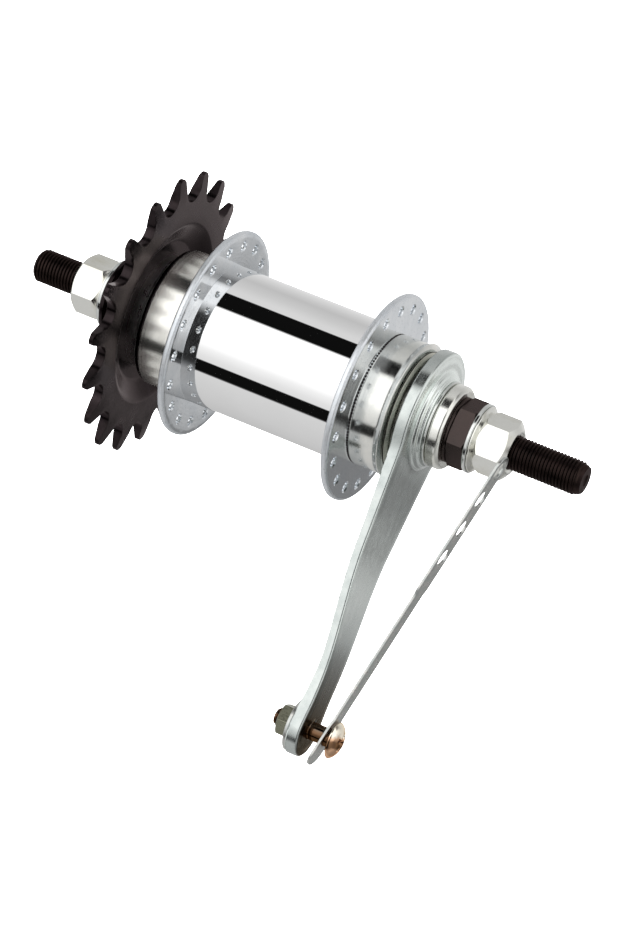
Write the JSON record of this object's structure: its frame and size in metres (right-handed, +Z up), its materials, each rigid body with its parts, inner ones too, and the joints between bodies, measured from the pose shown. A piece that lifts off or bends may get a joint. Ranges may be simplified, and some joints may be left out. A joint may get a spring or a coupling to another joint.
{
  "type": "bicycle rear hub",
  "caption": "Coaster-brake bicycle rear hub: black dished sprocket, chromed flanged shell, pressed brake arm and perforated frame clip on a solid threaded axle.",
  "frame": {"origin": "on the axle's axis, midway between the two faces that clamp against the frame ends", "axes": "+X along the axle towards the brake arm, +Z up, sprocket at -X; the brake arm points down and towards -Y"},
  "size_m": [0.168, 0.1205, 0.0991],
  "materials": {
    "chrome_barrel": "mirror polished",
    "zinc_flange": "bright bluish zinc",
    "drum_steel": "finely turned, bright",
    "arm_zinc": "satin zinc plate",
    "strap_zinc": "dull zinc plate",
    "nut_plate": "bright plated",
    "washer_steel": "plain bright",
    "axle_black": "black oxide, oiled",
    "lock_nut_black": "brown-black oxide",
    "sprocket_black": "satin black oxide",
    "copper_screw": "yellow chromate, glossy",
    "clip_nut_steel": "dull zinc plate",
    "inner_steel": "ground and oiled",
    "ball_steel": "polished",
    "cage_steel": "pressed sheet",
    "shoe_steel": "dark, phosphated"
  },
  "bodies": {
    "axle_assembly": {"axle": "axle_black", "adjusting_cone": "inner_steel", "drive_lock_nut": "lock_nut_black", "drive_lock_washer": "sprocket_black", "brake_cone": "inner_steel", "brake_dust_cap": "drum_steel", "brake_arm": "arm_zinc", "arm_washer": "washer_steel", "arm_collar": "nut_plate", "brake_lock_nut": "lock_nut_black", "clip_screw": "copper_screw", "clip_nut": "clip_nut_steel", "clip_washer": "washer_steel"},
    "hub_shell": {"barrel_tube": "chrome_barrel", "drive_flange": "zinc_flange", "brake_flange": "zinc_flange", "drive_drum": "drum_steel", "brake_drum": "drum_steel"},
    "driver_sprocket": {"driver": "inner_steel", "sprocket": "sprocket_black", "snap_ring": "sprocket_black", "driver_dust_cap": "drum_steel", "outer_dust_cap": "sprocket_black"},
    "clutch": {"clutch_cone": "inner_steel", "retarder_spring": "cage_steel"},
    "upper_shoe": {"brake_shoe_upper": "shoe_steel"},
    "lower_shoe": {"brake_shoe_lower": "shoe_steel"},
    "driver_ball_row": {"driver_balls": "ball_steel", "driver_ball_cage": "cage_steel"},
    "outer_ball_row": {"outer_balls": "ball_steel", "outer_ball_cage": "cage_steel"},
    "brake_ball_row": {"brake_balls": "ball_steel", "brake_ball_cage": "cage_steel"},
    "strap": {"clip_strap": "strap_zinc"},
    "brake_washer": {"brake_nut_washer": "washer_steel"},
    "brake_nut": {"brake_axle_nut": "nut_plate"},
    "drive_washer": {"drive_nut_washer": "washer_steel"},
    "drive_nut": {"drive_axle_nut": "nut_plate"}
  },
  "joints": [
    {"name": "shell_spin", "type": "hinge", "parent": "axle_assembly", "child": "hub_shell", "pos_m": [0, 0, 0], "axis": [1, 0, 0], "continuous": true},
    {"name": "driver_spin", "type": "hinge", "parent": "axle_assembly", "child": "driver_sprocket", "pos_m": [0, 0, 0], "axis": [1, 0, 0], "continuous": true},
    {"name": "clutch_slide", "type": "slide", "parent": "driver_sprocket", "child": "clutch", "axis": [1, 0, 0], "range_m": [0, 0.0025]},
    {"name": "upper_shoe_press", "type": "slide", "parent": "axle_assembly", "child": "upper_shoe", "axis": [0, 0, 1], "range_m": [0, 0.0003]},
    {"name": "lower_shoe_press", "type": "slide", "parent": "axle_assembly", "child": "lower_shoe", "axis": [0, 0, -1], "range_m": [0, 0.0003]},
    {"name": "driver_row_spin", "type": "hinge", "parent": "axle_assembly", "child": "driver_ball_row", "pos_m": [0, 0, 0], "axis": [1, 0, 0], "continuous": true},
    {"name": "outer_row_spin", "type": "hinge", "parent": "axle_assembly", "child": "outer_ball_row", "pos_m": [0, 0, 0], "axis": [1, 0, 0], "continuous": true},
    {"name": "brake_row_spin", "type": "hinge", "parent": "axle_assembly", "child": "brake_ball_row", "pos_m": [0, 0, 0], "axis": [1, 0, 0], "continuous": true},
    {"name": "strap_swing", "type": "hinge", "parent": "axle_assembly", "child": "strap", "pos_m": [0.05, -0.07258, -0.05082], "axis": [1, 0, 0], "range_deg": [0, 170]},
    {"name": "brake_nut_travel", "type": "slide", "parent": "axle_assembly", "child": "brake_washer", "axis": [1, 0, 0], "range_m": [0, 0.00978]},
    {"name": "brake_nut_spin", "type": "hinge", "parent": "brake_washer", "child": "brake_nut", "pos_m": [0, 0, 0], "axis": [1, 0, 0], "range_deg": [0, 3600]},
    {"name": "drive_nut_travel", "type": "slide", "parent": "axle_assembly", "child": "drive_washer", "axis": [-1, 0, 0], "range_m": [0, 0.00978]},
    {"name": "drive_nut_spin", "type": "hinge", "parent": "drive_washer", "child": "drive_nut", "pos_m": [0, 0, 0], "axis": [-1, 0, 0], "range_deg": [0, 3600]}
  ],
  "couplings": [
    {"joint": "upper_shoe_press", "follows": "clutch_slide", "ratio": 0.12},
    {"joint": "lower_shoe_press", "follows": "clutch_slide", "ratio": 0.12},
    {"joint": "driver_row_spin", "follows": "shell_spin", "ratio": 0.58},
    {"joint": "brake_row_spin", "follows": "shell_spin", "ratio": 0.558},
    {"joint": "outer_row_spin", "follows": "driver_spin", "ratio": 0.579},
    {"joint": "brake_nut_travel", "follows": "brake_nut_spin", "m_per_rad": 0.00015548},
    {"joint": "drive_nut_travel", "follows": "drive_nut_spin", "m_per_rad": 0.00015548}
  ]
}
